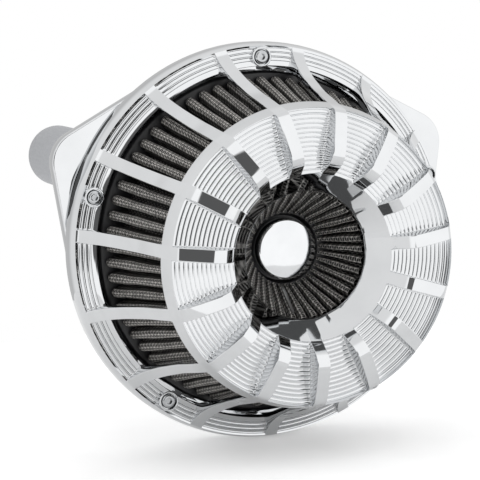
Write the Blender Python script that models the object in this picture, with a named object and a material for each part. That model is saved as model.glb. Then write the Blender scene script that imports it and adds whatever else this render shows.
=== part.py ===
"""Round chrome air cleaner for a V-twin motorcycle, in metres.

The filter axis runs along Y and the front faces -Y.  Z is up and X is to the right seen from the front.
The origin is the centre of the throttle bore on the rear face of the throttle adapter.
Profiles are lists of (radius, y) in millimetres, turned about the Y axis.
"""

import math

import bmesh
import bpy
from mathutils import Matrix, Vector

MM = 0.001
AXIS = Vector((0.0, 1.0, 0.0))

# Stack along the axis, rear to front (mm, rear is +Y)
ADAPTER_REAR = 0.0
ADAPTER_FRONT = -7.1
GASKET_REAR = -7.4
GASKET_FRONT = -8.4
PLATE_REAR = -8.7
PLATE_FRONT = -16.2
SEAL_REAR = -16.5
SEAL_FRONT = -17.7
COVER_REAR = -18.0

# Backing plate
PLATE_RADIUS = 92.0
PLATE_EDGE = 0.8
EAR_X = 83.3
EAR_Z = 42.1
EAR_RADIUS = 15.6
THROTTLE_BORE = 25.0
BREATHER_BORE = 6.0
BREATHER_DRILL = 2.2

# Cover
RIBS = 15
FIRST_RIB = 102.0
RIB_WIDTH = 6.0
PANEL_STEPS = 3
FLUTES = 14
FLUTE_DEPTH = 0.7
POCKET_GROOVES = 3
COVER_SCREWS = 5
SCREW_CIRCLE = 88.3
BOSS_RADIUS = 4.7
BOSS_HEIGHT = 15.2
SCREW_SEAT = 12.6

# Filter element
OUTER_PLEATS = 66
INNER_PLEATS = 36
MEDIA_THICKNESS = 0.9

# Throttle adapter
ADAPTER_RADIUS = 42.0
ADAPTER_SCREWS = 3
ADAPTER_SCREW_CIRCLE = 34.0
ADAPTER_SCREW_HOLE = 3.4

# Breather standoffs
STANDOFF_RADIUS = 14.6
STANDOFF_REAR = 36.0

# Cover cross-section, as (radius, height in front of the cover's rear face)
RIM = [(84.0, 0.0), (94.9, 0.0), (95.5, 0.6), (95.5, 6.6), (94.9, 8.6), (93.5, 11.8)]
SPOKE_TOP = [
    (91.2, 13.2), (87.4, 17.9), (84.0, 23.6), (80.7, 30.7), (78.2, 37.4), (74.9, 47.0), (72.4, 56.8), (69.5, 67.6),
]
KNEE = (67.3, 75.5)
RIB_TOP = [
    (65.8, 77.4), (62.4, 79.2), (57.6, 81.1), (52.8, 82.6), (48.4, 83.6), (45.6, 83.0), (43.0, 81.2), (40.6, 78.2),
    (38.7, 75.4),
]
PANEL_START = (66.7, 72.7)
PANEL_END = (37.9, 74.3)
FUNNEL = [(34.6, 70.3), (31.6, 67.2), (29.7, 65.7), (29.2, 64.9)]
CROWN_UNDER = [(29.4, 63.7), (31.6, 63.9), (36.4, 68.8), (40.0, 70.4), (62.5, 69.6), (66.4, 66.2)]
SPOKE_UNDER = [(69.2, 56.6), (71.8, 47.0), (74.7, 37.8), (76.9, 30.8), (79.6, 23.0), (84.0, 8.0)]
POCKET_START = (92.7, 11.6)
POCKET_LIP = (84.0, 14.8)


def front(height):
    """Y of a point this far in front of the cover's rear face."""
    return COVER_REAR - height


def polar(radius, degrees):
    return radius * math.cos(math.radians(degrees)), radius * math.sin(math.radians(degrees))


def place(x, z):
    return (x * MM, 0.0, z * MM)


def material(name, colour, metallic, roughness):
    mat = bpy.data.materials.new(name)
    mat.use_nodes = True
    shader = mat.node_tree.nodes["Principled BSDF"]
    shader.inputs["Base Color"].default_value = (*colour, 1.0)
    shader.inputs["Metallic"].default_value = metallic
    shader.inputs["Roughness"].default_value = roughness
    return mat


def finish(bm, name, mat, location=(0.0, 0.0, 0.0), smooth=True):
    """Close the mesh up, link it as an object and shade it."""
    bmesh.ops.remove_doubles(bm, verts=bm.verts, dist=1e-6)
    bmesh.ops.recalc_face_normals(bm, faces=bm.faces)
    mesh = bpy.data.meshes.new(name)
    bm.to_mesh(mesh)
    bm.free()
    if smooth:
        mesh.shade_smooth()
        mesh.set_sharp_from_angle(angle=math.radians(32))
    mesh.materials.append(mat)
    obj = bpy.data.objects.new(name, mesh)
    obj.location = location
    bpy.context.collection.objects.link(obj)
    return obj


def turn(bm, profile, steps, at=(0.0, 0.0)):
    """Spin a profile about a line parallel to Y; one that starts and ends on the axis is left open there."""
    verts = [bm.verts.new(((at[0] + r) * MM, y * MM, at[1] * MM)) for r, y in profile]
    edges = [bm.edges.new(pair) for pair in zip(verts, verts[1:])]
    if profile[0][0] > 0.0:
        edges.append(bm.edges.new((verts[-1], verts[0])))
    bmesh.ops.spin(
        bm, geom=verts + edges, cent=(at[0] * MM, 0.0, at[1] * MM), axis=AXIS, angle=2 * math.pi, steps=steps,
        use_merge=True)


def lathe(name, profile, steps, mat, at=(0.0, 0.0)):
    bm = bmesh.new()
    turn(bm, profile, steps)
    return finish(bm, name, mat, place(*at))


def cylinder(radius, y0, y1, steps, x=0.0, z=0.0):
    """A cutter's turned body, as its profile, step count and centre."""
    return [(0.0, y0), (radius, y0), (radius, y1), (0.0, y1)], steps, (x, z)


def add_tool(obj, operation, bm, label):
    """Keep the tool body as a hidden wire object behind an exact Boolean."""
    tool = finish(bm, obj.name + label, obj.data.materials[0], obj.location, smooth=False)
    tool.hide_render = True
    tool.display_type = "WIRE"
    mod = obj.modifiers.new(label.strip("_"), "BOOLEAN")
    mod.operation = operation
    mod.solver = "EXACT"
    mod.object = tool


def boolean(obj, operation, bodies, label):
    bm = bmesh.new()
    for profile, steps, at in bodies:
        turn(bm, profile, steps, at)
    add_tool(obj, operation, bm, label)


def plate_outline():
    """Corner points of a round plate with two tangent-sided ears, anticlockwise seen from the front."""
    reach = math.hypot(EAR_X, EAR_Z)
    ear = math.degrees(math.atan2(EAR_Z, EAR_X))
    spread = math.degrees(math.acos((PLATE_RADIUS - EAR_RADIUS) / reach))
    arcs = [
        (EAR_X, EAR_Z, EAR_RADIUS, ear - spread, ear + spread, 8),
        (0.0, 0.0, PLATE_RADIUS, ear + spread, 180.0 - ear - spread, 8),
        (-EAR_X, EAR_Z, EAR_RADIUS, 180.0 - ear - spread, 180.0 - ear + spread, 8),
        (0.0, 0.0, PLATE_RADIUS, 180.0 - ear + spread, 360.0 + ear - spread, 34),
    ]
    points = []
    for cx, cz, radius, start, end, steps in arcs:
        for i in range(steps + 1):
            x, z = polar(radius, start + (end - start) * i / steps)
            points.append((cx + x, cz + z))
    return points


def backing_plate(mat):
    bm = bmesh.new()
    face = bm.faces.new([bm.verts.new((x * MM, PLATE_REAR * MM, z * MM)) for x, z in plate_outline()])
    grown = bmesh.ops.extrude_face_region(bm, geom=[face])
    moved = [item for item in grown["geom"] if isinstance(item, bmesh.types.BMVert)]
    bmesh.ops.translate(bm, verts=moved, vec=(0.0, (PLATE_FRONT - PLATE_REAR) * MM, 0.0))
    obj = finish(bm, "backing_plate", mat)
    edge = obj.modifiers.new("edge", "BEVEL")
    edge.width = PLATE_EDGE * MM
    edge.segments = 1
    edge.limit_method = "ANGLE"
    edge.angle_limit = math.radians(60)
    cuts = [cylinder(THROTTLE_BORE, PLATE_REAR + 1, PLATE_FRONT - 1, 32)]
    for n in range(COVER_SCREWS):
        cuts.append(cylinder(2.35, PLATE_FRONT + 5.6, PLATE_FRONT - 1, 12, *polar(SCREW_CIRCLE, 90 + 72 * n)))
    for n in range(ADAPTER_SCREWS):
        at = polar(ADAPTER_SCREW_CIRCLE, 90 + 120 * n)
        cuts.append(cylinder(ADAPTER_SCREW_HOLE, PLATE_REAR + 1, PLATE_FRONT - 1, 14, *at))
    boolean(obj, "DIFFERENCE", cuts, "_bores")
    blind = [cylinder(BREATHER_BORE, PLATE_REAR + 1, PLATE_FRONT + 1.6, 20, side * EAR_X, EAR_Z) for side in (-1, 1)]
    boolean(obj, "DIFFERENCE", blind, "_breather_bores")
    breather_channels(obj)
    return obj


def breather_channels(plate):
    """A drilled channel from each ear's bore to the throttle bore, at mid thickness."""
    bm = bmesh.new()
    middle = (PLATE_REAR + PLATE_FRONT) / 2
    length = 70.0
    for side in (-1, 1):
        direction = Vector((side * EAR_X, 0.0, EAR_Z)).normalized()
        centre = direction * (20.0 + length / 2) * MM + AXIS * middle * MM
        matrix = Matrix.Translation(centre) @ direction.to_track_quat("Z", "Y").to_matrix().to_4x4()
        bmesh.ops.create_cone(
            bm, cap_ends=True, segments=10, radius1=BREATHER_DRILL * MM, radius2=BREATHER_DRILL * MM,
            depth=length * MM, matrix=matrix)
    add_tool(plate, "DIFFERENCE", bm, "_breather_channels")


def turned_grooves():
    """Stations of the grooves turned in the rim pockets and across the fluted panels."""
    pocket = []
    for groove in range(POCKET_GROOVES):
        r = POCKET_START[0] - 2.0 * groove
        h = POCKET_START[1] + 0.68 * groove
        pocket += [(r, h), (r - 1.0, h - 0.45)]
    pocket += [(POCKET_START[0] - 2.0 * POCKET_GROOVES, POCKET_START[1] + 0.68 * POCKET_GROOVES + 0.06), POCKET_LIP]
    panel = []
    pitch = (PANEL_START[0] - PANEL_END[0]) / FLUTES
    rise = (PANEL_END[1] - PANEL_START[1]) / FLUTES
    for flute in range(FLUTES):
        r = PANEL_START[0] - pitch * flute
        h = PANEL_START[1] + rise * flute
        panel += [(r, h), (r - pitch / 2, h - FLUTE_DEPTH)]
    return pocket, panel


def cover_sector(bm):
    """One rib and the panel beside it.  Rails 0 and 1 are the rib's edges, the last rail is the next rib's edge."""
    pocket, panel = turned_grooves()
    pitch = 360.0 / RIBS
    points = {}

    def point(rail, station):
        if (rail, station) not in points:
            r, h = station
            edge = math.degrees(math.asin(RIB_WIDTH / 2 / r))
            across = -edge if rail == 0 else edge + (pitch - 2 * edge) * (rail - 1) / PANEL_STEPS
            x, z = polar(r, FIRST_RIB + across)
            points[rail, station] = bm.verts.new((x * MM, front(h) * MM, z * MM))
        return points[rail, station]

    def skin(rails, stations):
        for a, b in zip(stations, stations[1:]):
            for rail in rails:
                bm.faces.new((point(rail, a), point(rail + 1, a), point(rail + 1, b), point(rail, b)))

    rib = range(0, 1)
    gap = range(1, 1 + PANEL_STEPS)
    both = range(0, 1 + PANEL_STEPS)
    outer_edge = RIM[-1]
    window_edge = SPOKE_TOP[-1]
    under_edge = CROWN_UNDER[-1]
    skin(both, RIM)
    skin(both, [PANEL_END] + FUNNEL + CROWN_UNDER)
    skin(rib, [outer_edge] + SPOKE_TOP + [KNEE] + RIB_TOP + [PANEL_END])
    skin(rib, [under_edge] + SPOKE_UNDER + [RIM[0]])
    skin(gap, [outer_edge] + pocket + [SPOKE_UNDER[-1], RIM[0]])
    skin(gap, [under_edge, window_edge, KNEE] + panel + [PANEL_END])
    spoke_side = [outer_edge] + SPOKE_TOP + [under_edge] + SPOKE_UNDER + pocket[::-1]
    rib_side = [KNEE] + RIB_TOP + [PANEL_END] + panel[::-1]
    for rail in (0, 1):
        copy_rail = rail if rail == 1 else 1 + PANEL_STEPS
        bm.faces.new([point(copy_rail, station) for station in spoke_side])
        bm.faces.new([point(copy_rail, station) for station in rib_side])


def cover(mat):
    """One turned and milled body: rim, ribs, pockets, windows, fluted panels and funnel."""
    bm = bmesh.new()
    cover_sector(bm)
    bmesh.ops.spin(
        bm, geom=bm.verts[:] + bm.edges[:] + bm.faces[:], cent=(0.0, 0.0, 0.0), axis=AXIS,
        angle=2 * math.pi * (RIBS - 1) / RIBS, steps=RIBS - 1, use_duplicate=True)
    obj = finish(bm, "cover", mat)
    bosses = []
    holes = []
    for n in range(COVER_SCREWS):
        at = polar(SCREW_CIRCLE, 90 + 72 * n)
        bosses.append(cylinder(BOSS_RADIUS, front(1.0), front(BOSS_HEIGHT), 20, *at))
        stepped = [
            (0.0, front(-1.0)), (2.35, front(-1.0)), (2.35, front(SCREW_SEAT)), (3.85, front(SCREW_SEAT)),
            (3.85, front(30.0)), (0.0, front(30.0)),
        ]
        holes.append((stepped, 16, at))
    boolean(obj, "UNION", bosses, "_bosses")
    boolean(obj, "DIFFERENCE", holes, "_screw_holes")
    return obj


def socket_screw(name, mat, at, shank, tip, seat, head, tall, socket, edge):
    """Screw pointing to the rear, with a hexagon socket in its head; edge is the head's (inward, back) chamfer."""
    top = seat - tall
    profile = [
        (0.0, tip), (shank - 0.4, tip), (shank, tip - 0.5), (shank, seat), (head, seat), (head, top + edge[1]),
        (head - edge[0], top), (0.0, top),
    ]
    obj = lathe(name, profile, 18, mat, at)
    boolean(obj, "DIFFERENCE", [cylinder(socket, top + 0.6 * tall, top - 1, 6)], "_socket")
    return obj


def pleated_cone(name, mat, count, stations):
    """Closed zigzag shell; stations are (outer fold radius, inner fold radius, y)."""
    bm = bmesh.new()
    half = 180.0 / count
    loop = [(outer, inner, y) for outer, inner, y in stations]
    loop += [(outer - MEDIA_THICKNESS, inner - MEDIA_THICKNESS, y) for outer, inner, y in reversed(stations)]
    rails = []
    for fold, angle in ((0, 90.0), (1, 90.0 + half), (0, 90.0 + 2 * half)):
        rail = []
        for station in loop:
            x, z = polar(station[fold], angle)
            rail.append(bm.verts.new((x * MM, station[2] * MM, z * MM)))
        rails.append(rail)
    size = len(loop)
    for low, high in zip(rails, rails[1:]):
        for i in range(size):
            k = (i + 1) % size
            bm.faces.new((low[i], high[i], high[k], low[k]))
    bmesh.ops.spin(
        bm, geom=bm.verts[:] + bm.edges[:] + bm.faces[:], cent=(0.0, 0.0, 0.0), axis=AXIS,
        angle=2 * math.pi * (count - 1) / count, steps=count - 1, use_duplicate=True)
    return finish(bm, name, mat, smooth=False)


def filter_element(urethane, media):
    base = [
        (81.0, -17.4), (81.6, -18.2), (81.6, front(8.2)), (80.6, front(9.6)), (68.8, front(9.6)), (68.0, front(8.8)),
        (68.0, -17.2), (68.8, -16.5), (80.2, -16.5),
    ]
    lathe("filter_base_ring", base, 40, urethane)
    pleated_cone("filter_outer_media", media, OUTER_PLEATS, [(79.9, 69.9, front(10.0)), (63.8, 55.8, front(62.6))])
    crown = [
        (64.6, front(63.0)), (64.6, front(65.0)), (62.0, front(68.8)), (40.4, front(69.9)), (36.9, front(68.2)),
        (33.2, front(64.6)), (30.9, front(63.2)), (30.2, front(61.6)), (30.6, front(60.0)), (36.0, front(60.4)),
        (54.0, front(63.0)),
    ]
    lathe("filter_front_ring", crown, 40, urethane)
    pleated_cone("filter_inner_media", media, INNER_PLEATS, [(35.6, 29.2, front(59.6)), (22.6, 17.2, front(37.4))])
    bottom = [
        (0.0, front(31.6)), (22.6, front(31.6)), (23.4, front(32.6)), (23.4, front(36.4)), (22.6, front(37.0)),
        (16.6, front(37.0)), (15.8, front(36.2)), (15.4, front(33.4)), (0.0, front(33.4)),
    ]
    obj = lathe("filter_centre_plate", bottom, 28, urethane)
    boolean(obj, "DIFFERENCE", [cylinder(3.4, front(30.0), front(35.0), 16)], "_bolt_hole")


def centre_fixing(chrome, steel):
    cap = [
        (0.0, front(33.7)), (13.6, front(33.7)), (14.2, front(34.3)), (14.2, front(40.4)), (13.8, front(41.05)),
        (11.0, front(41.6)), (7.5, front(42.1)), (3.6, front(42.4)), (0.0, front(42.5)),
    ]
    obj = lathe("centre_cap", cap, 32, chrome)
    boolean(obj, "DIFFERENCE", [cylinder(3.3, front(32.0), front(39.2), 14)], "_thread")
    washer = [(8.0, front(31.3)), (3.4, front(31.3)), (3.4, front(30.1)), (8.0, front(30.1))]
    lathe("centre_washer", washer, 24, steel)
    bolt = [
        (0.0, front(38.6)), (2.6, front(38.6)), (3.0, front(38.1)), (3.0, front(29.8)), (6.2, front(29.8)),
        (6.2, front(26.2)), (5.6, front(25.6)), (0.0, front(25.6)),
    ]
    obj = lathe("centre_bolt", bolt, 18, steel)
    boolean(obj, "DIFFERENCE", [cylinder(2.6, front(28.0), front(25.0), 6)], "_socket")


def seam_clip(steel):
    """Folded metal strip over the joint of the inner media, lying along one inner fold."""
    bm = bmesh.new()
    bmesh.ops.create_cube(bm, size=1.0)
    ends = Vector((27.0, front(58.4), 0.0)), Vector((16.45, front(38.9), 0.0))
    along = ends[1] - ends[0]
    bmesh.ops.scale(bm, verts=bm.verts, vec=(0.6 * MM, along.length * MM, 1.4 * MM))
    tilt = Matrix.Rotation(-math.atan2(along.x, along.y), 4, "Z")
    middle = Matrix.Translation((ends[0] + ends[1]) / 2 * MM)
    swing = Matrix.Rotation(math.radians(100.0), 4, "Y")
    bmesh.ops.transform(bm, verts=bm.verts, matrix=swing @ middle @ tilt)
    finish(bm, "inner_media_seam_clip", steel, smooth=False)


def o_ring(name, mat, major, y, steps, at=(0.0, 0.0)):
    profile = []
    for i in range(6):
        x, up = polar(1.1, 60.0 * i)
        profile.append((major + x, y + up))
    return lathe(name, profile, steps, mat, at)


def throttle_side(aluminium, rubber, steel):
    profile = [
        (THROTTLE_BORE, ADAPTER_REAR), (THROTTLE_BORE, ADAPTER_FRONT), (ADAPTER_RADIUS - 0.6, ADAPTER_FRONT),
        (ADAPTER_RADIUS, ADAPTER_FRONT + 0.6), (ADAPTER_RADIUS, ADAPTER_REAR - 0.6),
        (ADAPTER_RADIUS - 0.6, ADAPTER_REAR), (29.8, ADAPTER_REAR), (29.8, -2.6), (27.0, -2.6), (27.0, ADAPTER_REAR),
    ]
    adapter = lathe("throttle_adapter", profile, 32, aluminium)
    inner = THROTTLE_BORE + 0.3
    outer = ADAPTER_RADIUS - 0.5
    profile = [(inner, GASKET_REAR), (inner, GASKET_FRONT), (outer, GASKET_FRONT), (outer, GASKET_REAR)]
    gasket = lathe("throttle_gasket", profile, 32, rubber)
    holes = []
    for n in range(ADAPTER_SCREWS):
        at = polar(ADAPTER_SCREW_CIRCLE, 90 + 120 * n)
        holes.append(cylinder(ADAPTER_SCREW_HOLE, ADAPTER_REAR + 1, GASKET_FRONT - 1, 14, *at))
        socket_screw(
            "adapter_screw_%d" % (n + 1), steel, at, 3.0, 9.0, PLATE_FRONT - 0.3, 5.0, 5.0, 2.6, (0.4, 0.4))
    boolean(adapter, "DIFFERENCE", holes, "_screw_holes")
    boolean(gasket, "DIFFERENCE", holes, "_screw_holes")
    o_ring("adapter_o_ring", rubber, 28.4, -1.25, 28)


def breather_side(aluminium, rubber):
    start = PLATE_REAR + 0.3
    profile = [
        (BREATHER_BORE, STANDOFF_REAR), (BREATHER_BORE, start), (STANDOFF_RADIUS, start),
        (STANDOFF_RADIUS, STANDOFF_REAR - 0.8), (STANDOFF_RADIUS - 0.8, STANDOFF_REAR), (11.9, STANDOFF_REAR),
        (11.9, STANDOFF_REAR - 2.6), (9.1, STANDOFF_REAR - 2.6), (9.1, STANDOFF_REAR),
    ]
    for side, word in ((-1, "left"), (1, "right")):
        at = (side * EAR_X, EAR_Z)
        lathe("breather_standoff_" + word, profile, 24, aluminium, at)
        o_ring("standoff_o_ring_" + word, rubber, 10.5, STANDOFF_REAR - 1.25, 20, at)


for old in list(bpy.data.objects):
    bpy.data.objects.remove(old, do_unlink=True)

CHROME = material("chrome", (0.86, 0.87, 0.88), 1.0, 0.08)
STEEL = material("steel", (0.62, 0.63, 0.64), 1.0, 0.25)
ALUMINIUM = material("satin_aluminium", (0.45, 0.46, 0.48), 0.7, 0.5)
RUBBER = material("rubber", (0.025, 0.025, 0.025), 0.0, 0.6)
URETHANE = material("urethane", (0.02, 0.02, 0.022), 0.0, 0.45)
MEDIA = material("filter_media", (0.05, 0.048, 0.046), 0.1, 0.8)

backing_plate(CHROME)
lathe("cover_seal", [(85.8, SEAL_REAR), (85.8, SEAL_FRONT), (84.2, SEAL_FRONT), (84.2, SEAL_REAR)], 48, RUBBER)
cover(CHROME)
for number in range(COVER_SCREWS):
    socket_screw(
        "cover_screw_%d" % (number + 1), STEEL, polar(SCREW_CIRCLE, 90 + 72 * number), 2.0, PLATE_FRONT + 5.0,
        front(SCREW_SEAT + 0.3), 3.5, 2.6, 1.4, (1.2, 1.4))
filter_element(URETHANE, MEDIA)
centre_fixing(CHROME, STEEL)
seam_clip(STEEL)
throttle_side(ALUMINIUM, RUBBER, STEEL)
breather_side(ALUMINIUM, RUBBER)
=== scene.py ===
"""Looks of the round chrome air cleaner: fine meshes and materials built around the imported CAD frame.

The filter axis runs along Y and the front faces -Y.  Z is up and X is to the right seen from the front.
The cover's cross-sections are lists of (radius, height) in millimetres, the height measured forward of the
cover's rear face.  The turned parts' profiles are lists of (radius, y) in millimetres, and front() gives
the y of a height.
"""

import math

import bmesh
import bpy
from mathutils import Matrix, Quaternion, Vector


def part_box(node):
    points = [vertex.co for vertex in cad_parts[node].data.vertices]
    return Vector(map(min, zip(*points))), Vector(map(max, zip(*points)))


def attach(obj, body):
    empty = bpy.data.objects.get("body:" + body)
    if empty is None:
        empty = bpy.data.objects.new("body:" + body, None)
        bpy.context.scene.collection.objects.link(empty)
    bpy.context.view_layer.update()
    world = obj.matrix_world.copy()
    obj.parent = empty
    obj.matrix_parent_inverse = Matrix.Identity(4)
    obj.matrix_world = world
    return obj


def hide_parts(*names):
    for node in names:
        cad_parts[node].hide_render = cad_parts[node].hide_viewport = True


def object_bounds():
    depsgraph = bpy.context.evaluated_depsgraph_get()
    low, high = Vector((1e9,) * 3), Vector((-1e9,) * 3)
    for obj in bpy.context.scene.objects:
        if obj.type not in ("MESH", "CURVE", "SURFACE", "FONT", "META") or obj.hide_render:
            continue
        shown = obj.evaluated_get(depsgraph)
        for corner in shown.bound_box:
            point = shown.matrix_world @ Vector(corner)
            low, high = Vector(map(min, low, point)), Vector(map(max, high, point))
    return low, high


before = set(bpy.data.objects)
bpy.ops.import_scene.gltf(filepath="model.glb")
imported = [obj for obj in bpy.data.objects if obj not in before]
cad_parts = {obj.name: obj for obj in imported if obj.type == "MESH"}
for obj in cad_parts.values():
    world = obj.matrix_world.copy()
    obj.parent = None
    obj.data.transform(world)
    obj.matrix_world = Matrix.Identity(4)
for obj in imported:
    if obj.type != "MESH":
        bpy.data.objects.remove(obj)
CAD_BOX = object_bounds()

MM = 0.001
AXIS = Vector((0.0, 1.0, 0.0))
COVER_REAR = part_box("cover")[1].y / MM

# Camera, fitted to the photograph: lens in millimetres, places in metres, roll in degrees
LENS = 149.25
SENSOR = 36.0
CAMERA_PLACE = (-0.32494, -0.91302, 0.12253)
CAMERA_AIM = (-0.01715, -0.04222, 0.00376)
CAMERA_ROLL = -1.843

# Floor, in metres
FLOOR_RADIUS = 0.3
FLOOR_GAP = 0.0005

# Edges over this angle in degrees are shaded sharp
SHARP = 30.0

# Ribs (angles in degrees) and cover screws
RIBS = 15
PITCH = 360.0 / RIBS
FIRST_RIB = 102.0
HALF_RIB = 3.0
RIB_EDGE = 0.28
SCREWS = 5
SCREW_CIRCLE = 88.3
SCREW_BORE = 2.35
BOSS_RADIUS = 4.7
BOSS_TOP = 15.2
BOSS_EDGE = 0.3
COUNTERBORE = 3.85
COUNTERBORE_FLOOR = 12.6

# Plate, fixings and filter; BEHIND is a y behind all of them, where through holes end
EAR_X = 83.3
EAR_Z = 42.1
PLATE_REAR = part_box("backing_plate")[1].y / MM
PLATE_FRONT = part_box("backing_plate")[0].y / MM
PLATE_RADIUS = 92.0
PLATE_EDGE = 0.8
EAR_RADIUS = 15.6
THROTTLE_BORE = 25.0
ADAPTER_SCREWS = 3
ADAPTER_SCREW_CIRCLE = 34.0
ADAPTER_SCREW_BORE = 3.4
BREATHER_BORE = 6.0
BEHIND = 20.0
OUTER_PLEATS = 66
INNER_PLEATS = 36
MEDIA_THICKNESS = 0.9
GAUZE = (0.003, 0.003, 0.003)
CLIP_ANGLE = 100.0

# Cover cross-section
RIM_REAR = [(84.0, 0.0), (94.7, 0.0), (95.3, 0.6), (95.3, 4.2)]
RIM_BEVEL = [(95.3, 4.7), (95.1, 6.7), (94.5, 9.1), (93.5, 11.8)]
SPOKE_TOP = [
    (93.5, 11.8), (91.2, 13.3), (87.4, 17.9), (84.0, 23.6), (80.7, 30.7), (78.2, 37.4), (74.9, 47.0),
    (72.4, 56.8), (69.5, 67.6),
]
KNEE = (67.3, 75.5)
RIB_TOP = [
    (65.8, 77.4), (62.4, 79.2), (57.6, 81.1), (52.8, 82.6), (48.4, 83.6), (45.6, 83.0), (43.0, 81.2),
    (40.6, 78.2), (38.7, 75.4), (37.9, 74.3),
]
PANEL_START = (66.7, 72.7)
PANEL_END = (37.9, 74.3)
FUNNEL = [(37.9, 74.3), (35.1, 71.25), (32.3, 68.2), (29.6, 65.25), (29.2, 64.7)]
MOUTH = [(29.1, 64.3), (29.4, 63.7), (31.6, 63.9)]
CROWN_UNDER = [(31.6, 63.9), (36.4, 68.8), (40.0, 70.4), (62.5, 69.6), (66.4, 66.2)]
SPOKE_UNDER = [
    (66.4, 66.2), (69.2, 56.6), (71.8, 47.0), (74.7, 37.8), (76.9, 30.8), (79.6, 23.0), (84.0, 8.0),
]
WINDOW_CORNER = (69.62, 67.1)
POCKET_START = (92.7, 11.6)
POCKET_STEP = (-2.1, 0.72)
POCKET_RIM = [(85.2, 14.5), (84.2, 14.75), (84.0, 14.4)]
POCKET_GROOVES = 3
POCKET_DEPTH = 0.62
POCKET_LAND = 0.25
FLUTES = 14
FLUTE_DEPTH = 0.42
FLUTE_LAND = 0.3
GROOVE_POINTS = 6

# Across a rib: (share of its half width, share of RIB_EDGE that the top drops there)
RIB_CROWN = [
    (-1.0, 1.0), (-0.97, 0.3), (-0.91, 0.0), (-0.87, 0.0), (0.87, 0.0), (0.91, 0.0), (0.97, 0.3), (1.0, 1.0),
]

# Across a gap: grooves run out within BALL millimetres of each rib, at these distances from its wall
BALL = 1.0
BALL_STEPS = [0.0, 0.06, 0.2, 0.42, 0.7, 1.0]
MIDDLE_STEPS = 7


def front(height):
    """Y of a point this far in front of the cover's rear face."""
    return COVER_REAR - height


def polar(radius, degrees):
    """X and Z of a point at this radius and angle."""
    return radius * math.cos(math.radians(degrees)), radius * math.sin(math.radians(degrees))


def curve(points, steps):
    """Smooth line through the points, each stretch cut into steps."""
    padded = [points[0]] + list(points) + [points[-1]]

    def between(p, q, r, s, t):
        """Catmull-Rom value a share t of the way from q to r."""
        square = 2 * p - 5 * q + 4 * r - s
        cube = 3 * q - p - 3 * r + s
        return 0.5 * (2 * q + (r - p) * t + square * t * t + cube * t ** 3)

    line = []
    for stretch in zip(padded, padded[1:], padded[2:], padded[3:]):
        for i in range(steps):
            line.append(tuple(between(*values, i / steps) for values in zip(*stretch)))
    line.append(tuple(points[-1]))
    return line


# Studio ------------------------------------------------------------------------------------------

def camera():
    """The photograph's view."""
    lens = bpy.data.cameras.new("camera")
    lens.lens = LENS
    lens.sensor_width = SENSOR
    lens.clip_start = 0.05
    eye = bpy.data.objects.new("camera", lens)
    looking = (Vector(CAMERA_AIM) - Vector(CAMERA_PLACE)).to_track_quat("-Z", "Y")
    eye.location = CAMERA_PLACE
    eye.rotation_mode = "QUATERNION"
    eye.rotation_quaternion = looking @ Quaternion((0, 0, 1), math.radians(CAMERA_ROLL))
    bpy.context.collection.objects.link(eye)
    bpy.context.scene.camera = eye


def studio():
    """White room with a large soft box in front, a dimmer back, and dark shapes where the camera stands."""
    world = bpy.data.worlds.new("studio")
    bpy.context.scene.world = world
    world.use_nodes = True
    nodes, links = world.node_tree.nodes, world.node_tree.links
    background = nodes["Background"]
    direction = nodes.new("ShaderNodeTexCoord")

    def glow(towards, wide, soft, strength):
        """This strength inside a cone about a direction and 1 outside it; angles in degrees."""
        dot = nodes.new("ShaderNodeVectorMath")
        dot.operation = "DOT_PRODUCT"
        dot.inputs[1].default_value = Vector(towards).normalized()
        links.new(direction.outputs["Generated"], dot.inputs[0])
        fade = nodes.new("ShaderNodeMapRange")
        fade.interpolation_type = "SMOOTHSTEP"
        fade.inputs["From Min"].default_value = math.cos(math.radians(wide + soft))
        fade.inputs["From Max"].default_value = math.cos(math.radians(wide))
        fade.inputs["To Min"].default_value = 1.0
        fade.inputs["To Max"].default_value = strength
        links.new(dot.outputs["Value"], fade.inputs["Value"])
        return fade.outputs["Result"]

    def join(operation, a, b):
        node = nodes.new("ShaderNodeMath")
        node.operation = operation
        links.new(a, node.inputs[0])
        links.new(b, node.inputs[1])
        return node.outputs["Value"]

    box = glow((0.38, -0.92, 0.0), wide=64, soft=16, strength=1.32)
    back = glow((0.0, 1.0, 0.0), wide=22, soft=30, strength=0.62)
    camera_body = glow((-0.32, -0.94, 0.03), wide=12, soft=2, strength=0.1)
    shoulder = glow((-0.51, -0.85, 0.05), wide=11, soft=2, strength=0.1)
    stand = glow((-0.17, -0.93, 0.3), wide=13, soft=2, strength=0.1)
    dark = join("MINIMUM", join("MINIMUM", camera_body, shoulder), stand)
    room = join("MULTIPLY", join("MULTIPLY", box, back), dark)
    path = nodes.new("ShaderNodeLightPath")
    seen = nodes.new("ShaderNodeMix")
    seen.data_type = "FLOAT"
    links.new(path.outputs["Is Camera Ray"], seen.inputs["Factor"])
    links.new(room, seen.inputs[2])
    seen.inputs[3].default_value = 1.0
    links.new(seen.outputs[0], background.inputs["Strength"])
    background.inputs["Color"].default_value = (1.0, 1.0, 1.0, 1.0)
    bpy.context.scene.view_settings.view_transform = "Standard"


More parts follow.
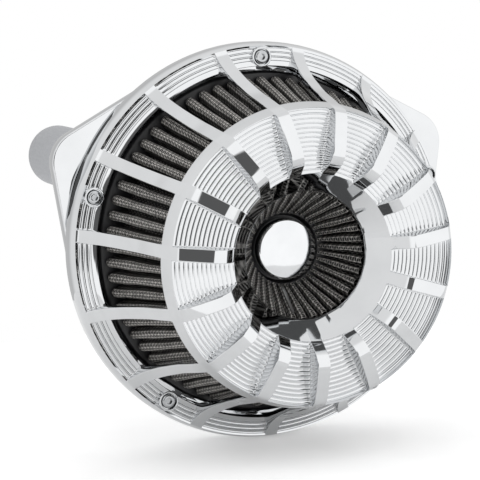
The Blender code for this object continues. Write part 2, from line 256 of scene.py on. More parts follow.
def floor():
    """Pale round floor just under the rim, a little brighter to the camera than to the chrome."""
    low = CAD_BOX[0][2] - FLOOR_GAP
    place = Matrix.Translation((0.0, 0.0, low))
    bm = bmesh.new()
    bmesh.ops.create_circle(bm, cap_ends=True, segments=128, radius=FLOOR_RADIUS, matrix=place)
    mesh = bpy.data.meshes.new("floor")
    bm.to_mesh(mesh)
    bm.free()
    obj = bpy.data.objects.new("floor", mesh)
    bpy.context.collection.objects.link(obj)
    mat, nodes, links, shader = blank("floor_paint")
    shader.inputs["Roughness"].default_value = 0.9
    shader.inputs["Specular IOR Level"].default_value = 0.0
    shader.inputs["Emission Color"].default_value = (1.0, 1.0, 1.0, 1.0)
    path = nodes.new("ShaderNodeLightPath")
    fill = spread(nodes, links, path.outputs["Is Camera Ray"], 0.12, 0.32)
    links.new(fill, shader.inputs["Emission Strength"])
    grain = noise(nodes, links, 40.0, 3)
    links.new(ramp(nodes, links, grain, (0.80, 0.80, 0.80), (0.84, 0.84, 0.84)), shader.inputs["Base Color"])
    mesh.materials.append(mat)


# Materials ---------------------------------------------------------------------------------------

def blank(name):
    """New material with its nodes, links and shader."""
    mat = bpy.data.materials.new(name)
    mat.use_nodes = True
    nodes, links = mat.node_tree.nodes, mat.node_tree.links
    return mat, nodes, links, nodes["Principled BSDF"]


def noise(nodes, links, scale, detail):
    """Noise over the object's own coordinates."""
    texture = nodes.new("ShaderNodeTexNoise")
    texture.inputs["Scale"].default_value = scale
    texture.inputs["Detail"].default_value = detail
    where = nodes.new("ShaderNodeTexCoord")
    links.new(where.outputs["Object"], texture.inputs["Vector"])
    return texture.outputs["Fac"]


def ramp(nodes, links, factor, low, high, start=0.3, end=0.7):
    """A colour between two, as a factor goes from start to end."""
    node = nodes.new("ShaderNodeValToRGB")
    node.color_ramp.elements[0].position = start
    node.color_ramp.elements[0].color = (*low, 1.0)
    node.color_ramp.elements[1].position = end
    node.color_ramp.elements[1].color = (*high, 1.0)
    links.new(factor, node.inputs["Fac"])
    return node.outputs["Color"]


def spread(nodes, links, factor, low, high):
    """A value from low to high, as a factor goes from 0 to 1."""
    node = nodes.new("ShaderNodeMapRange")
    node.inputs["To Min"].default_value = low
    node.inputs["To Max"].default_value = high
    links.new(factor, node.inputs["Value"])
    return node.outputs["Result"]


def bump(nodes, links, shader, height, distance):
    node = nodes.new("ShaderNodeBump")
    node.inputs["Distance"].default_value = distance
    node.inputs["Strength"].default_value = 1.0
    links.new(height, node.inputs["Height"])
    links.new(node.outputs["Normal"], shader.inputs["Normal"])


def clouded(name, low, high, rough, grain, waves, detail, metallic):
    """Uneven tint and gloss; grain is the noise scale and waves the bump depth in metres."""
    mat, nodes, links, shader = blank(name)
    shader.inputs["Metallic"].default_value = metallic
    cloud = noise(nodes, links, grain, detail)
    links.new(ramp(nodes, links, cloud, low, high), shader.inputs["Base Color"])
    links.new(spread(nodes, links, cloud, *rough), shader.inputs["Roughness"])
    bump(nodes, links, shader, cloud, waves)
    return mat


def metal(name, low, high, rough, grain, waves):
    return clouded(name, low, high, rough, grain, waves, 4, 1.0)


def moulded(name, low, high, rough, grain, waves):
    return clouded(name, low, high, rough, grain, waves, 5, 0.0)


def wire_cloth(name, across, along, wire, wire_highlight):
    """Woven wire over black gauze.

    The UV map holds millimetres from the fold's crest and along the fold; across and along are the wires'
    spacings in it, and wire the share of a spacing that a wire fills.  The colour is painted light towards the
    wires' raised crests, a painted highlight on black wire, and darker deep in each fold as painted shade.
    """
    mat, nodes, links, shader = blank(name)
    where = nodes.new("ShaderNodeTexCoord")
    split = nodes.new("ShaderNodeSeparateXYZ")
    links.new(where.outputs["UV"], split.inputs["Vector"])

    def sums(operation, a, b=None):
        """Result of a sum of sockets or numbers."""
        node = nodes.new("ShaderNodeMath")
        node.operation = operation
        for socket, value in zip(node.inputs, (a, b)):
            if isinstance(value, (int, float)):
                socket.default_value = value
            elif value is not None:
                links.new(value, socket)
        return node.outputs["Value"]

    rails = sums("ADD", sums("MULTIPLY", split.outputs["X"], math.pi / across), math.pi / 2)
    rungs = sums("MULTIPLY", split.outputs["Y"], math.pi / along)

    def wires(phase, other):
        """Round wires at each half turn of one phase, weaving over and under along the other."""
        line = sums("ABSOLUTE", sums("COSINE", phase))
        round_wire = sums("MAXIMUM", sums("DIVIDE", sums("SUBTRACT", line, 1.0 - wire), wire), 0.0)
        weave = sums("MULTIPLY", sums("COSINE", phase), sums("COSINE", other))
        over = sums("ADD", sums("MULTIPLY", weave, 0.3), 0.7)
        return sums("MULTIPLY", sums("SQRT", round_wire), over)

    # Painted highlight: the colour follows the weave's height, so each wire is painted lightest along its crest
    # and where it passes over the crossing wire
    height = sums("MAXIMUM", wires(rails, rungs), wires(rungs, rails))
    cloud = noise(nodes, links, 260.0, 3)
    shade = sums("MULTIPLY", height, spread(nodes, links, cloud, 0.35, 1.3))
    # Painted shade: the wires' colour is scaled down to 0.45 between 1.1 and 2.2 wire spacings off the fold's
    # crest, shade painted deep in each fold
    deep = nodes.new("ShaderNodeMapRange")
    deep.inputs["From Min"].default_value = 1.1 * across
    deep.inputs["From Max"].default_value = 2.2 * across
    deep.inputs["To Min"].default_value = 1.0
    deep.inputs["To Max"].default_value = 0.45
    links.new(sums("ABSOLUTE", split.outputs["X"]), deep.inputs["Value"])
    painted_fold_shade = sums("MULTIPLY", shade, deep.outputs["Result"])
    links.new(ramp(nodes, links, painted_fold_shade, GAUZE, wire_highlight, 0.12, 0.75), shader.inputs["Base Color"])
    links.new(spread(nodes, links, cloud, 0.35, 0.6), shader.inputs["Roughness"])
    shader.inputs["Specular IOR Level"].default_value = 0.15
    bump(nodes, links, shader, height, 0.0004)
    return mat


# Mesh building -----------------------------------------------------------------------------------

def smooth(mesh, sharp=SHARP):
    """Shade smooth, with edges over this angle kept sharp."""
    mesh.shade_smooth()
    mesh.set_sharp_from_angle(angle=math.radians(sharp))


def settle(obj, slot, *nodes):
    """Put a finished piece in place of its CAD nodes."""
    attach(obj, "root")
    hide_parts(*nodes)


def add(bm, name, mat, slot, *nodes, sharp=SHARP):
    """Close the mesh up, shade it (flat if sharp is None) and put it in place of any nodes given."""
    bmesh.ops.remove_doubles(bm, verts=bm.verts, dist=1e-6)
    bmesh.ops.recalc_face_normals(bm, faces=bm.faces)
    mesh = bpy.data.meshes.new(name)
    bm.to_mesh(mesh)
    bm.free()
    if sharp is not None:
        smooth(mesh, sharp)
    mesh.materials.append(mat)
    obj = bpy.data.objects.new(name, mesh)
    bpy.context.collection.objects.link(obj)
    if nodes:
        settle(obj, slot, *nodes)
    return obj


def turn(bm, profile, steps, at=(0.0, 0.0)):
    """Spin a closed profile of (radius, y) about a line parallel to Y."""
    verts = [bm.verts.new(((at[0] + r) * MM, y * MM, at[1] * MM)) for r, y in profile]
    edges = [bm.edges.new(pair) for pair in zip(verts, verts[1:])]
    if profile[0][0] > 0.0:
        edges.append(bm.edges.new((verts[-1], verts[0])))
    bmesh.ops.spin(
        bm, geom=verts + edges, cent=(at[0] * MM, 0.0, at[1] * MM), axis=AXIS, angle=2 * math.pi,
        steps=steps, use_merge=True)


def rounded(profile, radius):
    """The profile with each corner off the axis rounded; radius is the length taken off each side."""
    line = []
    count = len(profile)
    for i, (x, y) in enumerate(profile):
        if x == 0.0:
            line.append((x, y))
            continue
        corner = Vector((x, y))
        before = Vector(profile[i - 1]) - corner
        after = Vector(profile[(i + 1) % count]) - corner
        length = min(radius, before.length * 0.45, after.length * 0.45)
        start = corner + before.normalized() * length
        end = corner + after.normalized() * length
        for k in range(4):
            t = k / 3
            line.append(tuple(start * (1 - t) ** 2 + corner * 2 * t * (1 - t) + end * t * t))
    return line


def lathe(name, profile, steps, mat, slot, *nodes, at=(0.0, 0.0), edge=0.3):
    """Turned piece with its corners rounded off by edge."""
    bm = bmesh.new()
    turn(bm, rounded(profile, edge), steps, at)
    return add(bm, name, mat, slot, *nodes)


def stitch(bm):
    """Close the hairline joints a Boolean leaves: split an open edge at the open corners that lie on it."""
    near = 3e-6
    open_edges = [e for e in bm.edges if e.is_boundary]
    corners = {v for e in open_edges for v in e.verts}
    for edge in open_edges:
        start, end = edge.verts
        along = end.co - start.co
        stops = []
        for corner in corners - {start, end}:
            t = (corner.co - start.co).dot(along) / along.length_squared
            if 0.0 < t < 1.0 and (start.co + along * t - corner.co).length < near:
                stops.append(t)
        done = 0.0
        for t in sorted(stops):
            edge, start = bmesh.utils.edge_split(edge, start, (t - done) / (1.0 - done))
            edge = next(e for e in start.link_edges if end in e.verts)
            done = t
    bmesh.ops.remove_doubles(bm, verts=bm.verts, dist=near)


def cut(obj, operation, bodies):
    """Apply an exact Boolean with turned bodies, each a (profile, steps, at)."""
    tool_mesh = bmesh.new()
    for profile, steps, at in bodies:
        turn(tool_mesh, profile, steps, at)
    tool = add(tool_mesh, "tool", obj.data.materials[0], None, sharp=None)
    mod = obj.modifiers.new("cut", "BOOLEAN")
    mod.operation = operation
    mod.solver = "EXACT"
    mod.object = tool
    bpy.context.view_layer.update()
    depsgraph = bpy.context.evaluated_depsgraph_get()
    result = bpy.data.meshes.new_from_object(obj.evaluated_get(depsgraph))
    bm = bmesh.new()
    bm.from_mesh(result)
    bmesh.ops.remove_doubles(bm, verts=bm.verts, dist=2e-6)
    stitch(bm)
    bm.to_mesh(result)
    bm.free()
    obj.modifiers.remove(mod)
    obj.data = result
    bpy.data.objects.remove(tool, do_unlink=True)


# Cover -------------------------------------------------------------------------------------------

def normals(line):
    """Unit normals on the outer side of a profile that runs inwards."""
    result = []
    for i in range(len(line)):
        a = line[max(i - 1, 0)]
        b = line[min(i + 1, len(line) - 1)]
        along = Vector((b[0] - a[0], b[1] - a[1])).normalized()
        result.append((along.y, -along.x))
    return result


def groove_line(start, step, depth, land, count):
    """Concave grooves side by side along a line: (radius, height, depth below the line) at each station.

    The first land millimetres of each groove's step stay flat.
    """
    stations = []
    length = math.hypot(*step)
    for groove in range(count):
        r = start[0] + step[0] * groove
        h = start[1] + step[1] * groove
        stations.append((r, h, 0.0))
        for k in range(GROOVE_POINTS):
            angle = math.pi * k / GROOVE_POINTS
            along = (land + (length - land) * (1 - math.cos(angle)) / 2) / length
            stations.append((r + step[0] * along, h + step[1] * along, depth * math.sin(angle)))
    stations.append((start[0] + step[0] * count, start[1] + step[1] * count, 0.0))
    return stations


def gap_rails(ends, middle):
    """Places across a gap: millimetres from its start or end wall, or a share of the width between."""
    near = [("start", d) for d in ends]
    far = [("end", d) for d in reversed(ends)]
    centre = [("share", (k + 1) / (middle + 1)) for k in range(middle)]
    return near + centre + far


def cover_sector(bm):
    """One rib and the gap beside it, up to the next rib's wall."""
    rails = gap_rails(BALL_STEPS, MIDDLE_STEPS)
    count = len(rails)
    grid = {}

    def across(rail, r):
        """Angle of a gap rail at a radius, and how much of a groove's depth it has."""
        wall = math.asin(HALF_RIB / r)
        width = math.radians(PITCH) - 2 * wall
        kind, value = rails[rail]
        if kind == "share":
            ball = BALL / r
            return wall + ball + (width - 2 * ball) * value, 1.0
        angle = wall + value / r if kind == "start" else wall + width - value / r
        full = math.sqrt(max(0.0, 1.0 - (1.0 - value / BALL) ** 2))
        return angle, full

    def vert(key, r, h, angle):
        """The vertex of this key, made when it is first asked for."""
        if key not in grid:
            x, z = polar(r, FIRST_RIB + math.degrees(angle))
            grid[key] = bm.verts.new((x * MM, front(h) * MM, z * MM))
        return grid[key]

    def gap_vert(rail, station):
        r, h = station[0], station[1]
        angle, full = across(rail, r)
        depth = station[2] * full if len(station) > 2 else 0.0
        return vert((round(r, 4), round(h, 4), "gap", rail), r, h - depth, angle)

    def rib_vert(side, station):
        """Point on the rib's start (-1) or end (1) wall; the end wall is the gap's first rail."""
        r, h = station[0], station[1]
        if side == 1:
            return gap_vert(0, station)
        return vert((round(r, 4), round(h, 4), "rib"), r, h, -math.asin(HALF_RIB / r))

    def gap_skin(rows):
        """Skin across the gap through these stations."""
        for a, b in zip(rows, rows[1:]):
            for c in range(count - 1):
                bm.faces.new((gap_vert(c, a), gap_vert(c + 1, a), gap_vert(c + 1, b), gap_vert(c, b)))

    def rib_skin(line, rounding):
        """Strip between the rib's walls; rounding is how much of its long edges' rounding each row has."""
        rows = []
        for (r, h), (out, up), full in zip(line, normals(line), rounding):
            row = []
            for share, drop in RIB_CROWN:
                low = RIB_EDGE * drop * full
                rr, hh = r - out * low, h - up * low
                if abs(share) == 1.0:
                    row.append(rib_vert(int(share), (rr, hh)))
                else:
                    angle = math.asin(HALF_RIB * share / rr)
                    row.append(vert((round(rr, 4), round(hh, 4), share), rr, hh, angle))
            rows.append(row)
        for a, b in zip(rows, rows[1:]):
            for c in range(len(RIB_CROWN) - 1):
                bm.faces.new((a[c], a[c + 1], b[c + 1], b[c]))
        return rows

    def plain(line):
        """Strip between the rib's walls with square edges."""
        rib_skin(line, [0.0] * len(line))

    def crowned(line):
        """Rounded long edges, running out where the rib's walls end."""
        return rib_skin(line, [0.0] + [1.0] * (len(line) - 3) + [0.5, 0.0])

    def wall(side, rows, outline):
        """Flat side of a rib: one long edge of its strip and the rest of its outline."""
        edge = [row[0 if side == -1 else -1] for row in rows]
        bm.faces.new(edge + [rib_vert(side, station) for station in outline])

    bevel = curve(RIM_BEVEL, 2)
    rim = RIM_REAR + bevel
    spoke = curve(SPOKE_TOP, 4)
    crest = curve([KNEE] + RIB_TOP, 4)
    inner = curve(FUNNEL, 3) + curve(MOUTH, 2) + CROWN_UNDER[1:]
    spoke_under = curve(SPOKE_UNDER, 2)
    span = (PANEL_END[0] - PANEL_START[0], PANEL_END[1] - PANEL_START[1])
    flute = (span[0] / FLUTES, span[1] / FLUTES)
    panel = groove_line(PANEL_START, flute, FLUTE_DEPTH, FLUTE_LAND, FLUTES)
    pocket = groove_line(POCKET_START, POCKET_STEP, POCKET_DEPTH, POCKET_LAND, POCKET_GROOVES) + POCKET_RIM

    plain(rim)
    plain(inner)
    plain(spoke_under + [RIM_REAR[0]])
    plain([spoke[-1], KNEE])
    spoke_rows = crowned(spoke)
    crest_rows = crowned(crest)
    gap_skin(rim)
    gap_skin(inner)
    gap_skin([bevel[-1]] + pocket + [SPOKE_UNDER[-1], RIM_REAR[0]])
    gap_skin([CROWN_UNDER[-1], WINDOW_CORNER, spoke[-1], KNEE] + panel)
    under = [WINDOW_CORNER] + spoke_under + pocket[::-1]
    for side in (-1, 1):
        wall(side, spoke_rows, under)
        wall(side, crest_rows, panel[-2::-1])


def cover(mat):
    """All the sectors, then the screw bosses in the rim pockets and the holes through them."""
    bm = bmesh.new()
    cover_sector(bm)
    bmesh.ops.spin(
        bm, geom=bm.verts[:] + bm.edges[:] + bm.faces[:], cent=(0.0, 0.0, 0.0), axis=AXIS,
        angle=2 * math.pi * (RIBS - 1) / RIBS, steps=RIBS - 1, use_duplicate=True)
    obj = add(bm, "cover_shell", mat, None)
    boss = [
        (0.0, front(1.0)), (BOSS_RADIUS, front(1.0)), (BOSS_RADIUS, front(BOSS_TOP - BOSS_EDGE)),
        (BOSS_RADIUS - BOSS_EDGE, front(BOSS_TOP)), (0.0, front(BOSS_TOP)),
    ]
    mouth = COUNTERBORE + BOSS_EDGE
    hole = [
        (0.0, front(-1.0)), (SCREW_BORE, front(-1.0)), (SCREW_BORE, front(COUNTERBORE_FLOOR)),
        (COUNTERBORE, front(COUNTERBORE_FLOOR)), (COUNTERBORE, front(BOSS_TOP - BOSS_EDGE)),
        (mouth, front(BOSS_TOP + 0.1)), (mouth, front(18.0)), (0.0, front(18.0)),
    ]
    places = [polar(SCREW_CIRCLE, 90 + 360 * n / SCREWS) for n in range(SCREWS)]
    cut(obj, "UNION", [(boss, 40, at) for at in places])
    cut(obj, "DIFFERENCE", [(hole, 40, at) for at in places])
    smooth(obj.data)
    settle(obj, "cover_chrome", "cover")


# Plate, screws and fixings -----------------------------------------------------------------------

def plate_outline():
    """Corner points of a round plate with two tangent-sided ears, anticlockwise seen from the front."""
    reach = math.hypot(EAR_X, EAR_Z)
    ear = math.degrees(math.atan2(EAR_Z, EAR_X))
    spread_angle = math.degrees(math.acos((PLATE_RADIUS - EAR_RADIUS) / reach))
    arcs = [
        (EAR_X, EAR_Z, EAR_RADIUS, ear - spread_angle, ear + spread_angle, 28),
        (0.0, 0.0, PLATE_RADIUS, ear + spread_angle, 180.0 - ear - spread_angle, 30),
        (-EAR_X, EAR_Z, EAR_RADIUS, 180.0 - ear - spread_angle, 180.0 - ear + spread_angle, 28),
        (0.0, 0.0, PLATE_RADIUS, 180.0 - ear + spread_angle, 360.0 + ear - spread_angle, 140),
    ]
    points = []
    for cx, cz, radius, start, end, steps in arcs:
        for i in range(steps + 1):
            x, z = polar(radius, start + (end - start) * i / steps)
            points.append((cx + x, cz + z))
    return points


def backing_plate(mat):
    """Eared plate and its holes.  The bevel stays on as a modifier, so it breaks the holes' edges too."""
    bm = bmesh.new()
    base = bm.faces.new([bm.verts.new((x * MM, PLATE_REAR * MM, z * MM)) for x, z in plate_outline()])
    grown = bmesh.ops.extrude_face_region(bm, geom=[base])
    moved = [item for item in grown["geom"] if isinstance(item, bmesh.types.BMVert)]
    bmesh.ops.translate(bm, verts=moved, vec=(0.0, (PLATE_FRONT - PLATE_REAR) * MM, 0.0))
    obj = add(bm, "plate_shell", mat, None)
    edge = obj.modifiers.new("edge", "BEVEL")
    edge.width = PLATE_EDGE * MM
    edge.segments = 3
    edge.limit_method = "ANGLE"
    edge.angle_limit = math.radians(60)
    cuts = [through(THROTTLE_BORE, 96)]
    for n in range(SCREWS):
        blind = hole_from(PLATE_FRONT - 1.0, PLATE_FRONT + 5.6, SCREW_BORE)
        cuts.append((blind, 24, polar(SCREW_CIRCLE, 90 + 360 * n / SCREWS)))
    for n in range(ADAPTER_SCREWS):
        at = polar(ADAPTER_SCREW_CIRCLE, 90 + 360 * n / ADAPTER_SCREWS)
        cuts.append(through(ADAPTER_SCREW_BORE, 28, at))
    for side in (-1, 1):
        blind = hole_from(PLATE_FRONT + 1.6, PLATE_REAR + 1.0, BREATHER_BORE)
        cuts.append((blind, 48, (side * EAR_X, EAR_Z)))
    cut(obj, "DIFFERENCE", cuts)
    smooth(obj.data)
    settle(obj, "plate_chrome", "backing_plate")


def hole_from(fore, rear, radius):
    """Profile of a plain hole between two values of y."""
    return [(0.0, rear), (radius, rear), (radius, fore), (0.0, fore)]


def through(radius, steps, at=(0.0, 0.0)):
    """Turned body for a hole right through the plate and everything behind it."""
    return hole_from(PLATE_FRONT - 1.0, BEHIND, radius), steps, at


def socket_screw(node, mat, slot, at, shank, tip, seat, head, tall, socket, crown):
    """Screw pointing to the rear.

    tip and seat are values of y, shank, head and socket are radii, and tall is the head's height.  crown is
    the outline of the head's top as (share of radius, share of height).
    """
    top = seat - tall
    profile = [(0.0, tip), (shank - 0.5, tip), (shank, tip - 0.6), (shank, seat)]
    bm = bmesh.new()
    outline = rounded(profile, 0.15)[:-1] + [(shank, seat), (head - 0.15, seat), (head, seat - 0.15)]
    outline += [(head * out, seat - tall * up) for out, up in crown]
    turn(bm, outline, 48, at)
    obj = add(bm, node + "_body", mat, None)
    wide = socket * 1.18
    cone = [(0.0, top + socket * 0.35), (wide, top - 0.12), (wide, top - 1.0), (0.0, top - 1.0)]
    cut(obj, "DIFFERENCE", [(hole_from(top - 1.0, top + 0.6 * tall, socket), 6, at)])
    cut(obj, "DIFFERENCE", [(cone, 48, at)])
    smooth(obj.data)
    settle(obj, slot, node)


def button(start, flat=0.62, steps=6):
    """Crown of a button head: a quarter round from a share of its height to the flat around its socket."""
    line = []
    for i in range(steps + 1):
        angle = math.pi / 2 * i / steps
        line.append((flat + (1 - flat) * math.cos(angle), start + (1 - start) * math.sin(angle)))
    return line + [(0.0, 1.0)]


def cylinder_crown(bevel):
    """Crown of a flat-topped head with a bevelled edge."""
    return [(1.0, 1.0 - bevel), (1.0 - bevel, 1.0), (0.0, 1.0)]


# Filter element ----------------------------------------------------------------------------------

def pleat_section(width, steps):
    """One pleat as (share of half a pitch, share of depth): flat-sided with a round outer and inner fold."""
    half = []
    for k in range(steps + 1):
        angle = math.pi / 2 * k / steps
        half.append((width * math.sin(angle), 1 - 0.2 * (1 - math.cos(angle))))
    for k in range(steps + 1):
        angle = math.pi / 2 * k / steps
        half.append((1 - (1 - width - 0.12) * math.cos(angle), 0.1 * (1 - math.sin(angle))))
    return half + [(2 - share, depth) for share, depth in reversed(half[:-1])]


def pleats(node, mat, slot, count, stations, width, inward, wave):
    """Closed pleated shell, with UVs in millimetres.

    stations are (outer fold radius, inner fold radius, height).  width is the crest's share of half a pitch,
    inward puts the crests inside, and wave is how far in millimetres the folds lean out of true.
    """
    section = pleat_section(width, 6)
    half = 180.0 / count
    bm = bmesh.new()
    uv = bm.loops.layers.uv.new("UVMap")
    skins = (0.0, -MEDIA_THICKNESS)
    grid = {}
    size = len(section) - 1
    for skin, offset in enumerate(skins):
        for pleat in range(count):
            for i, (share, depth) in enumerate(section[:-1]):
                for j, (outer, inner, height) in enumerate(stations):
                    level = 1 - depth if inward else depth
                    radius = inner + (outer - inner) * level + offset
                    middle = 1 - abs(2 * j / (len(stations) - 1) - 1)
                    lean = wave * math.sin(pleat * 2.4 + j * 0.5) * middle
                    angle = 90.0 + half * (2 * pleat + share) + math.degrees(lean / radius)
                    x, z = polar(radius, angle)
                    place = (x * MM, front(height) * MM, z * MM)
                    grid[skin, pleat * size + i, j] = bm.verts.new(place)
    total = count * size
    reach = [0.0]
    for i in range(size):
        reach.append(reach[-1] + (grid[0, i + 1, 0].co - grid[0, i, 0].co).length / MM)
    deep = [0.0]
    for a, b in zip(stations, stations[1:]):
        deep.append(deep[-1] + math.hypot(a[0] - b[0], a[2] - b[2]))

    def quad(corners, values):
        face = bm.faces.new(corners)
        for loop, value in zip(face.loops, values):
            loop[uv].uv = value

    last = len(stations) - 1
    for i in range(total):
        k = (i + 1) % total
        fold = i % size
        crest = reach[size] if fold >= size // 2 else 0.0
        start, end = reach[fold] - crest, reach[fold + 1] - crest
        for skin in (0, 1):
            for j in range(last):
                corners = grid[skin, i, j], grid[skin, k, j], grid[skin, k, j + 1], grid[skin, i, j + 1]
                quad(corners, ((start, deep[j]), (end, deep[j]), (end, deep[j + 1]), (start, deep[j + 1])))
        for j in (0, last):
            near, far = deep[j], deep[j] + MEDIA_THICKNESS
            corners = grid[0, i, j], grid[0, k, j], grid[1, k, j], grid[1, i, j]
            quad(corners, ((start, near), (end, near), (end, far), (start, far)))
    add(bm, node + "_pleats", mat, slot, node, sharp=60.0)


def tapered(rear, fore, steps, pinch):
    """Stations between two (outer, inner, height) ends, closer at the rear, drawn in over pinch millimetres."""
    stations = []
    for i in range(steps + 1):
        t = (i / steps) ** 1.4
        outer, inner, height = (a + (b - a) * t for a, b in zip(rear, fore))
        gone = abs(height - rear[2])
        if gone < pinch:
            outer -= (outer - inner) * 0.55 * (1 - math.sqrt(1 - (1 - gone / pinch) ** 2))
        stations.append((outer, inner, height))
    return stations


def filter_element(urethane, outer_mesh, inner_mesh):
    """The three moulded rings and the two pleated cones between them."""
    base = [
        (81.0, -17.4), (81.6, -18.2), (81.6, front(8.2)), (80.6, front(9.6)), (68.8, front(9.6)),
        (68.0, front(8.8)), (68.0, -17.2), (68.8, -16.5), (80.2, -16.5),
    ]
    lathe("base_ring", base, 160, urethane, "filter_urethane", "filter_base_ring", edge=0.5)
    crown = [
        (64.6, front(63.0)), (64.6, front(65.0)), (62.0, front(68.8)), (40.4, front(69.9)),
        (36.9, front(68.2)), (33.2, front(64.6)), (30.9, front(63.2)), (30.2, front(61.6)),
        (30.6, front(60.0)), (36.0, front(60.4)), (54.0, front(63.0)),
    ]
    lathe("front_ring", crown, 160, urethane, "filter_urethane", "filter_front_ring", edge=0.6)
    bottom = [
        (0.0, front(31.6)), (22.6, front(31.6)), (23.4, front(32.6)), (23.4, front(36.4)),
        (22.6, front(37.0)), (16.6, front(37.0)), (15.8, front(36.2)), (15.4, front(33.4)),
        (0.0, front(33.4)),
    ]
    centre = lathe("centre_ring", bottom, 96, urethane, None, edge=0.4)
    cut(centre, "DIFFERENCE", [(hole_from(front(35.0), front(30.0), 3.4), 32, (0.0, 0.0))])
    settle(centre, "filter_urethane", "filter_centre_plate")
    outer = tapered((79.9, 69.9, 10.0), (63.8, 55.8, 62.6), 18, 3.0)
    pleats(
        "filter_outer_media", outer_mesh, "filter_mesh", OUTER_PLEATS, outer,
        width=0.6, inward=False, wave=0.25)
    inner = tapered((35.6, 29.2, 59.6), (22.6, 17.2, 37.4), 12, 0.0)
    pleats(
        "filter_inner_media", inner_mesh, "filter_mesh", INNER_PLEATS, inner,
        width=0.58, inward=True, wave=0.3)


def centre_fixing(chrome_cap, steel):
    """Cap, washer and bolt on the filter's axis."""
    cap = [
        (0.0, front(33.7)), (13.6, front(33.7)), (14.2, front(34.3)), (14.2, front(40.4)),
        (14.1, front(40.8)),
    ]
    face = [
        (13.8, front(41.05)), (11.0, front(41.6)), (8.0, front(42.05)), (4.0, front(42.4)),
        (0.0, front(42.5)),
    ]
    bm = bmesh.new()
    turn(bm, cap + curve(face, 3), 128)
    obj = add(bm, "cap_dome", chrome_cap, None, sharp=40.0)
    cut(obj, "DIFFERENCE", [(hole_from(front(39.2), front(32.0), 3.3), 28, (0.0, 0.0))])
    settle(obj, "cap_chrome", "centre_cap")
    washer = [(8.0, front(31.3)), (3.4, front(31.3)), (3.4, front(30.1)), (8.0, front(30.1))]
    lathe("washer_ring", washer, 48, steel, "steel", "centre_washer", edge=0.2)
    bolt = [
        (0.0, front(38.6)), (2.6, front(38.6)), (3.0, front(38.1)), (3.0, front(29.8)),
        (6.2, front(29.8)), (6.2, front(26.2)), (5.6, front(25.6)), (0.0, front(25.6)),
    ]
    body = lathe("bolt_body", bolt, 48, steel, None, edge=0.25)
    cut(body, "DIFFERENCE", [(hole_from(front(28.0), front(25.0), 2.6), 6, (0.0, 0.0))])
    settle(body, "steel", "centre_bolt")


def seam_clip(mat):
    """Folded strip with rolled long edges over the joint of the inner media."""
    ends = Vector((27.0, front(58.4))), Vector((16.45, front(38.9)))
    along = (ends[1] - ends[0]).normalized()
    out = Vector((along.y, -along.x))
    section = [
        (-0.7, 0.3), (-0.62, -0.12), (-0.4, -0.3), (0.4, -0.3), (0.62, -0.12), (0.7, 0.3), (0.45, 0.3),
        (0.35, 0.0), (-0.35, 0.0), (-0.45, 0.3),
    ]
    bm = bmesh.new()
    rings = []
    steps = 16
    for i in range(steps + 1):
        middle = ends[0] + (ends[1] - ends[0]) * i / steps
        ring = []
        for side, depth in section:
            r, y = middle - out * depth
            ring.append(bm.verts.new((r * MM, y * MM, side * MM)))
        rings.append(ring)
    for a, b in zip(rings, rings[1:]):
        for k in range(len(section)):
            n = (k + 1) % len(section)
            bm.faces.new((a[k], a[n], b[n], b[k]))
    bm.faces.new(rings[0])
    bm.faces.new(rings[-1])
    turned = Matrix.Rotation(math.radians(CLIP_ANGLE), 3, "Y")
    bmesh.ops.rotate(bm, verts=bm.verts, cent=(0, 0, 0), matrix=turned)
    add(bm, "seam_strip", mat, "clip_steel", "inner_media_seam_clip", sharp=50.0)


# Throttle and breather side ----------------------------------------------------------------------

def o_ring(name, mat, node, major, y, at=(0.0, 0.0)):
    """Ring of round section, its middle line at radius major."""
    profile = []
    sides = 14
    for i in range(sides):
        x, up = polar(1.1, 360.0 * i / sides)
        profile.append((major + x, y + up))
    bm = bmesh.new()
    turn(bm, profile, 96, at)
    add(bm, name, mat, "o_ring_rubber", node, sharp=80.0)


def throttle_side(aluminium, rubber, steel):
    """Adapter with the groove for its ring, gasket, screws and ring."""
    profile = [
        (THROTTLE_BORE, 0.0), (THROTTLE_BORE, -7.1), (41.4, -7.1), (42.0, -6.5), (42.0, -0.6),
        (41.4, 0.0), (29.8, 0.0), (29.8, -2.6), (27.0, -2.6), (27.0, 0.0),
    ]
    adapter = lathe("adapter_body", profile, 128, aluminium, None, edge=0.25)
    sheet = [(25.3, -7.4), (25.3, -8.4), (41.5, -8.4), (41.5, -7.4)]
    gasket = lathe("gasket_ring", sheet, 128, rubber, None, edge=0.15)
    holes = []
    for n in range(ADAPTER_SCREWS):
        at = polar(ADAPTER_SCREW_CIRCLE, 90 + 360 * n / ADAPTER_SCREWS)
        holes.append(through(ADAPTER_SCREW_BORE, 28, at))
        socket_screw(
            "adapter_screw_%d" % (n + 1), steel, "steel", at, shank=3.0, tip=9.0, seat=PLATE_FRONT - 0.3,
            head=5.0, tall=5.0, socket=2.6, crown=cylinder_crown(0.08))
    drilled = (
        (adapter, "adapter_aluminium", "throttle_adapter"),
        (gasket, "gasket_rubber", "throttle_gasket"),
    )
    for obj, slot, node in drilled:
        cut(obj, "DIFFERENCE", holes)
        smooth(obj.data)
        settle(obj, slot, node)
    o_ring("adapter_ring", rubber, "adapter_o_ring", 28.4, -1.25)


def breather_side(aluminium, rubber):
    """Hollow standoffs behind the ears, each with a ring in its rear face."""
    start, rear = (corner.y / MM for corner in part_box("breather_standoff_left"))
    profile = [
        (BREATHER_BORE, rear), (BREATHER_BORE, start), (14.6, start), (14.6, rear - 0.8), (13.8, rear),
        (11.9, rear), (11.9, rear - 2.6), (9.1, rear - 2.6), (9.1, rear),
    ]
    for side, word in ((-1, "left"), (1, "right")):
        at = (side * EAR_X, EAR_Z)
        lathe(
            "standoff_" + word, profile, 96, aluminium, "standoff_aluminium", "breather_standoff_" + word,
            at=at, edge=0.35)
        o_ring("standoff_ring_" + word, rubber, "standoff_o_ring_" + word, 10.5, rear - 1.25, at)


camera()
studio()
floor()

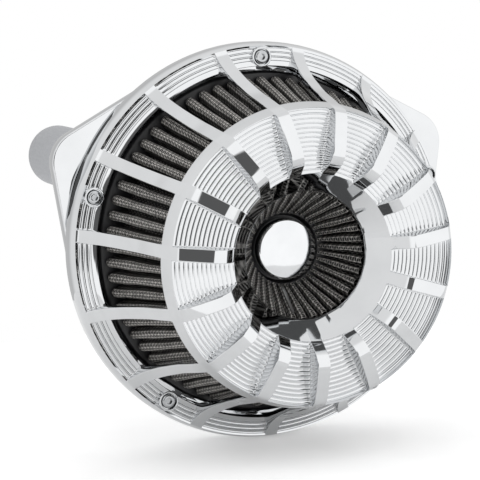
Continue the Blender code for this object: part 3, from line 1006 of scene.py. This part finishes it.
# Each metal or moulding: name, two tints, range of roughness, grain and waves
chrome = metal("chrome", (0.64, 0.65, 0.66), (0.68, 0.69, 0.70), (0.02, 0.05), 60.0, 0.000004)
cap_chrome = metal("cap_chrome", (0.68, 0.69, 0.70), (0.72, 0.73, 0.74), (0.05, 0.1), 90.0, 0.000004)
screw_chrome = metal("screw_chrome", (0.42, 0.43, 0.44), (0.52, 0.53, 0.54), (0.1, 0.22), 300.0, 0.00001)
steel_grey = metal("steel", (0.45, 0.45, 0.46), (0.56, 0.56, 0.57), (0.2, 0.4), 200.0, 0.00002)
clip_steel = metal("clip_steel", (0.42, 0.42, 0.42), (0.58, 0.58, 0.58), (0.25, 0.45), 400.0, 0.00003)
aluminium_grey = metal(
    "adapter_aluminium", (0.5, 0.5, 0.51), (0.6, 0.6, 0.61), (0.25, 0.4), 120.0, 0.00001)
blasted = metal(
    "standoff_aluminium", (0.46, 0.47, 0.49), (0.55, 0.56, 0.58), (0.42, 0.55), 900.0, 0.00003)
rubber_black = moulded("rubber", (0.012, 0.012, 0.012), (0.03, 0.03, 0.03), (0.5, 0.7), 300.0, 0.00004)
urethane_black = moulded(
    "urethane", (0.008, 0.008, 0.009), (0.022, 0.022, 0.024), (0.25, 0.45), 120.0, 0.0001)
# The wire colour given to each cloth is a painted highlight on the black wire
outer_cloth = wire_cloth("outer_wire_cloth", across=1.4, along=1.4, wire=0.2, wire_highlight=(0.62, 0.60, 0.57))
inner_cloth = wire_cloth("inner_wire_cloth", across=2.2, along=1.4, wire=0.14, wire_highlight=(0.66, 0.64, 0.61))

cover(chrome)
backing_plate(chrome)
seal = [(85.8, -16.5), (85.8, -17.7), (84.2, -17.7), (84.2, -16.5)]
lathe("seal_ring", seal, 160, rubber_black, "seal_rubber", "cover_seal", edge=0.2)
for number in range(SCREWS):
    socket_screw(
        "cover_screw_%d" % (number + 1), screw_chrome, "screw_steel",
        polar(SCREW_CIRCLE, 90 + 360 * number / SCREWS), shank=2.0, tip=PLATE_FRONT + 5.0, seat=front(12.9),
        head=3.5, tall=2.3, socket=1.6, crown=button(0.45))
filter_element(urethane_black, outer_cloth, inner_cloth)
centre_fixing(cap_chrome, steel_grey)
seam_clip(clip_steel)
throttle_side(aluminium_grey, rubber_black, steel_grey)
breather_side(blasted, rubber_black)
